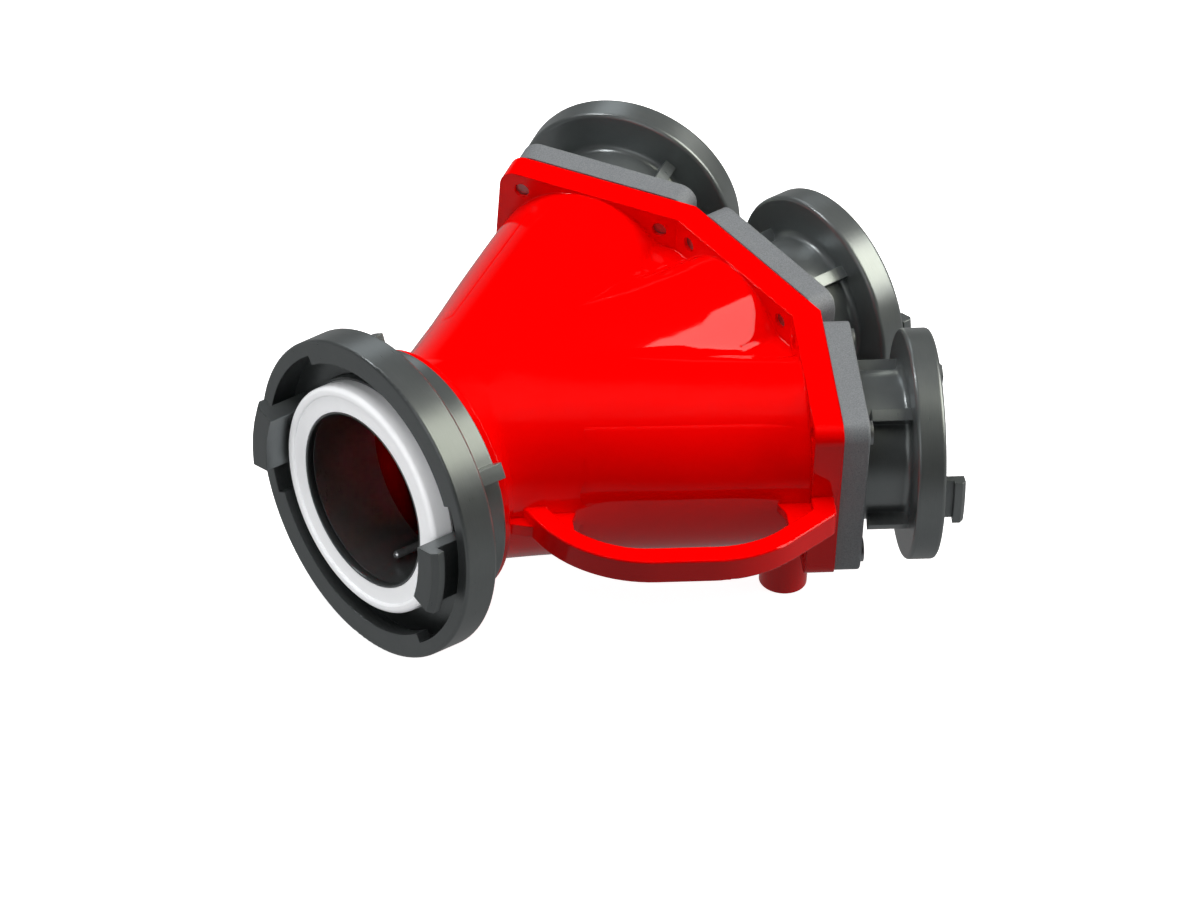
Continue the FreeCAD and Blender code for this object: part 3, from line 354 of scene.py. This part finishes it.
def rubber(name, light, dark, least_roughness):
    """Moulded rubber: faint mottling of the colour and a fine matt skin."""
    material, shader, place = new_finish(name, IOR=1.48)
    mottle = place.noise(160.0, 3.0)
    skin = place.noise(2600.0, 2.0)
    feed(
        shader,
        Base_Color=mottle.between(dark, light),
        Roughness=least_roughness + 0.12 * skin,
        Normal=rippled(skin, 0.00006, 0.0005, 0.4),
    )
    return material


white_rubber = rubber("white_rubber", (0.93, 0.94, 0.95), (0.88, 0.89, 0.91), 0.34)
black_rubber = rubber("black_rubber", (0.030, 0.030, 0.031), (0.018, 0.018, 0.019), 0.45)
dress(white_rubber, "outlet_seal")
dress(black_rubber, "outlet_o_ring")
for side in BRANCHES:
    dress(white_rubber, f"inlet_seal_{side}")
    dress(black_rubber, f"plate_o_ring_{side}", f"coupling_gasket_{side}", f"flap_facing_{side}")


# Inlet units
# Each branch ends in a square plate of bead-blasted alloy, screwed to the flange over an O-ring, with
# a lug coupling screwed into it. A cast flap hangs on a pin behind the plate and lets water in only.

# The inlet couplings are painted 1.2 times paler than the outlet's alloy, as painted light on the same
# alloy.
INLET_PAINTED_LIGHT = 1.2


def blasted_alloy():
    """Blue-grey alloy, blasted: light and dark specks under a millimetre, with a satin gloss."""
    material, shader, place = new_finish("blasted_alloy", Metallic=0.35, IOR=1.5)
    speck = place.noise(1500.0, 3.0, 0.7)
    cloud = place.noise(40.0, 2.0)
    shade = speck.ramp(0.3, 0.7) * 0.85 + 0.15 * cloud
    feed(
        shader,
        Base_Color=shade.between((0.165, 0.174, 0.184), (0.330, 0.345, 0.360)),
        Roughness=0.46 + 0.14 * speck,
        Normal=rippled(speck, 0.00014, 0.0009, 0.5),
    )
    return material


def cast_alloy():
    """Rough pale alloy, as cast."""
    material, shader, place = new_finish("cast_alloy", Metallic=0.7)
    skin = place.noise(700.0, 4.0, 0.6)
    feed(
        shader,
        Base_Color=skin.between((0.26, 0.27, 0.28), (0.42, 0.43, 0.44)),
        Roughness=0.42 + 0.2 * skin,
        Normal=rippled(skin, 0.0003, 0.0006, 0.5),
    )
    return material


plate_alloy = blasted_alloy()
flap_alloy = cast_alloy()
for side, turn in BRANCHES.items():
    dress(plate_alloy, f"inlet_plate_{side}")
    dress(turned_alloy(f"inlet_alloy_{side}", turn, INLET_PAINTED_LIGHT), f"inlet_coupling_{side}")
    dress(flap_alloy, f"flap_{side}")
    dress(steel, f"hinge_pin_{side}", f"plate_screws_{side}")


# Driver recesses
# The four screws of each plate have low round heads with a hexagon recess, cold formed in bright steel.
# Each recess lines the round socket of its head, with a small countersink round the hexagon.

PLATE_THICKNESS = 0.0145
HEAD_HEIGHT = 0.0022
HEAD_FACE = BRANCH_LENGTH + PLATE_THICKNESS + HEAD_HEIGHT
SCREW_SPREAD = 0.040
SOCKET_RADIUS = 0.0029
SOCKET_DEPTH = 0.0014
ACROSS_FLATS = 0.0044
RIM_DEPTH = 0.00002
MOUTH_DEPTH = 0.00015
MOUTH_WIDENING = 1.06
FLOOR_FALL = 0.0001
FLOOR_MIDDLE = 0.3


def recess_surface(steps=48):
    """Recess about x, as rows of points over the angle a.

    A hexagon's radius is half its width across flats / cos(a mod 60 degrees - 30 degrees). The rows
    are the socket's rim, the hexagon's mouth, the hexagon at the floor and the middle of the floor.
    """
    angle = np.linspace(0, math.tau, steps, endpoint=False)
    hexagon = ACROSS_FLATS / 2 / np.cos(np.mod(angle, math.pi / 3) - math.pi / 6)
    rim = np.full(steps, SOCKET_RADIUS)
    mouth = np.minimum(hexagon * MOUTH_WIDENING, rim)
    radius = np.stack([rim, mouth, hexagon, hexagon * FLOOR_MIDDLE])
    depth = np.array([RIM_DEPTH, MOUTH_DEPTH, SOCKET_DEPTH - FLOOR_FALL, SOCKET_DEPTH])
    x = np.broadcast_to(-depth[:, None], radius.shape)
    return np.stack([x, radius * np.cos(angle), radius * np.sin(angle)], axis=2)


for side, turn in BRANCHES.items():
    surface = recess_surface()
    rows, steps, _ = surface.shape
    points = []
    faces = []
    for over, up in ((1, 1), (1, -1), (-1, -1), (-1, 1)):
        centre = np.array((HEAD_FACE, over * SCREW_SPREAD, up * SCREW_SPREAD))
        first = len(points)
        faces += (first + grid_faces(rows, steps, around=True)).tolist()
        faces.append(list(range(first + (rows - 1) * steps, first + rows * steps)))
        points += on_branch(surface + centre, turn).tolist()
    add_piece(f"driver_recess_{side}", points, faces, steel)


# Core lip
# A thin turned lip on the tail piece stands up inside the outlet's seal and keeps its inner edge in
# place. It is of one piece with the tail's alloy, and its front is rounded over.

OUTLET_BORE = 0.0490
LIP_WALL = 0.00132
LIP_FRONT = -0.0011
LIP_BACK = 0.00345


def lip_surface(steps=144, nose_steps=9):
    """Lip about x: a closed profile of bore, half-round nose and outside, carried all the way round."""
    bend = np.linspace(0, math.pi, nose_steps)
    half = LIP_WALL / 2
    x = np.concatenate([[LIP_BACK], LIP_FRONT + half - half * np.sin(bend), [LIP_BACK]])[:, None]
    wall = np.concatenate([[0.0], half - half * np.cos(bend), [LIP_WALL]])[:, None]
    radius = wall + OUTLET_BORE
    angle = np.linspace(0, math.tau, steps, endpoint=False)
    y = radius * np.cos(angle)
    return np.stack([np.broadcast_to(x, y.shape), y, radius * np.sin(angle)], axis=2)


surface = lip_surface()
rows, steps, _ = surface.shape
points = surface.reshape(-1, 3).tolist()
faces = grid_faces(rows, steps, around=True, closed=True).tolist()
core_lip = add_piece("outlet_core_lip", points, faces, outlet_alloy, smooth=True)


# Stage
# A pale floor under the feet, a dim room with a grey lower half, and soft lamps above and beside.
# Some lamps light one group of pieces only. The narrow red one stands for the light that the
# casting's red inside throws back into the outlet.

FLOOR_REACH = 12.0
ROOM_GREY = (0.27, 0.27, 0.27)
ROOM_DARK = (0.0, 0.0, 0.0)
GREY_BELOW = -0.35
DARK_ABOVE = 0.12

low = cad_box[0][2]
corners = np.array([(-1, -1, 0), (1, -1, 0), (1, 1, 0), (-1, 1, 0)]) * FLOOR_REACH + (0, 0, low)
floor_mesh = bpy.data.meshes.new("floor")
floor_mesh.from_pydata(corners.tolist(), [], [(0, 1, 2, 3)])
floor = bpy.data.objects.new("floor", floor_mesh)
bpy.context.scene.collection.objects.link(floor)
floor_paint, _, _ = new_finish(
    "floor_paint",
    Base_Color=(0.9, 0.9, 0.9, 1.0),
    Roughness=0.9,
    Emission_Color=(1.0, 1.0, 1.0, 1.0),
    Emission_Strength=0.95,
)
floor_mesh.materials.append(floor_paint)
floor.visible_diffuse = False
floor.visible_glossy = False

world = bpy.data.worlds.new("room")
bpy.context.scene.world = world
world.use_nodes = True
room = world.node_tree
way = Finish(room, room.nodes.new("ShaderNodeTexCoord").outputs["Generated"])
height = way.add("ShaderNodeSeparateXYZ", {}, {"Vector": way}, 2)
grey = height.ramp(GREY_BELOW, DARK_ABOVE).between(ROOM_GREY, ROOM_DARK)
room.links.new(grey.socket, room.nodes["Background"].inputs["Color"])

WHITE = (1.0, 1.0, 1.0)
MIDDLE = (0.13, 0.0, 0.0)
OUTLET_MOUTH = (0.01, 0.01, 0.0)
BORE_SPREAD = math.radians(4)


def lamp(name, direction, distance, size, power, colour=WHITE, lights=None, aim=MIDDLE, glossy=True):
    """Area lamp in a direction from the place it is aimed at, with or without a reflection.

    Its width lies along X, as nearly as it can. Where pieces are named, it lights only those.
    """
    light = bpy.data.lights.new(name, "AREA")
    light.shape = "RECTANGLE"
    light.size, light.size_y = size
    light.energy = power
    light.color = colour
    item = bpy.data.objects.new(name, light)
    bpy.context.scene.collection.objects.link(item)
    towards = Vector(direction).normalized()
    width = (Vector((1.0, 0.0, 0.0)) - towards * towards.x).normalized()
    length = towards.cross(width)
    item.location = Vector(aim) + towards * distance
    item.rotation_euler = Matrix((width, length, towards)).transposed().to_euler()
    item.visible_camera = False
    item.visible_glossy = glossy
    if lights:
        item.light_linking.receiver_collection = lights
    return item


def lit_group(name, *pieces):
    """Collection of CAD nodes, by their names, that a lamp can be kept to."""
    group = bpy.data.collections.new(name)
    for piece in pieces:
        group.objects.link(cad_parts[piece])
    return group


couplings = [f"inlet_coupling_{side}" for side in BRANCHES]
screws = [f"plate_screws_{side}" for side in BRANCHES]
alloys = lit_group("alloys", "outlet_tail", "outlet_lug_ring", *couplings, *screws)
alloys.objects.link(core_lip)
plates = lit_group("plates", *(f"inlet_plate_{side}" for side in BRANCHES))
inlet_seals = [f"inlet_seal_{side}" for side in BRANCHES]
front_pieces = lit_group("front_pieces", "outlet_seal", "outlet_stop_pin", *inlet_seals)
inside = lit_group("inside", "outlet_tail", "housing")

lamp("overhead", (0.0, 0.2, 1.0), 1.6, (1.8, 1.8), 34.0, glossy=False)
lamp("key", (0.734, -0.363, 0.574), 1.6, (0.72, 1.48), 10.9, (1.0, 0.98, 0.90))
lamp("side_fill", (-0.15, -0.97, 0.2), 1.8, (1.2, 1.2), 1.2, glossy=False)
lamp("right_lamp", (0.75, -0.6, 0.15), 1.8, (1.2, 1.2), 11.0, glossy=False)
lamp("far_side", (-0.25, 0.93, 0.25), 1.8, (2.0, 2.0), 14.0, glossy=False)
edge_lamp = lamp("edge_lamp", (-0.27, 0.60, 0.73), 1.8, (0.3, 0.3), 5.0)
edge_lamp.visible_diffuse = False
lamp("front_fill", (-0.8, -0.3, 0.5), 1.8, (1.2, 1.2), 3.0, lights=alloys)
lamp("ring_lamp", (0.51, -0.44, 0.74), 1.6, (0.9, 1.0), 7.0, (1.0, 0.99, 0.80), alloys)
lamp("rim_lamp", (0.32, 0.82, 0.48), 1.8, (0.9, 0.6), 1.6, (0.92, 0.97, 1.0), alloys)
lamp("plate_fill", (-0.5, -0.85, 0.1), 1.8, (1.2, 1.2), 2.0, lights=plates)
lamp("front_lamp", (-0.9, -0.35, 0.3), 1.5, (1.0, 1.0), 14.5, lights=front_pieces)
bore_lamp = lamp(
    "bore_lamp", (-0.62, -0.66, 0.42), 1.5, (0.05, 0.05), 0.012, (1.0, 0.10, 0.12), inside,
    OUTLET_MOUTH, glossy=False)
bore_lamp.data.spread = BORE_SPREAD


# Camera
# A long lens from the outlet's side, high up on the handle's side, as the photograph was taken.
# It looks at the middle of the picture, and its distance follows from the picture's width there.

AZIMUTH = math.radians(-130.56)
ELEVATION = math.radians(38.22)
ROLL = math.radians(4.36)
AIM = (0.13774, -0.03024, -0.00644)
FRAME_WIDTH = 0.6462
LENS = 1000.0
SENSOR = 36.0
FAR_CLIP = 100.0

level = math.cos(ELEVATION)
towards = np.array((level * math.cos(AZIMUTH), level * math.sin(AZIMUTH), math.sin(ELEVATION)))
optics = bpy.data.cameras.new("camera")
optics.lens = LENS
optics.sensor_width = SENSOR
optics.clip_end = FAR_CLIP
camera = bpy.data.objects.new("camera", optics)
bpy.context.scene.collection.objects.link(camera)
camera.location = np.array(AIM) + towards * FRAME_WIDTH * LENS / SENSOR
facing = Vector(towards).to_track_quat("Z", "Y")
camera.rotation_mode = "QUATERNION"
camera.rotation_quaternion = facing @ Quaternion((0, 0, 1), ROLL)
bpy.context.scene.camera = camera
bpy.context.scene.view_settings.view_transform = "Standard"
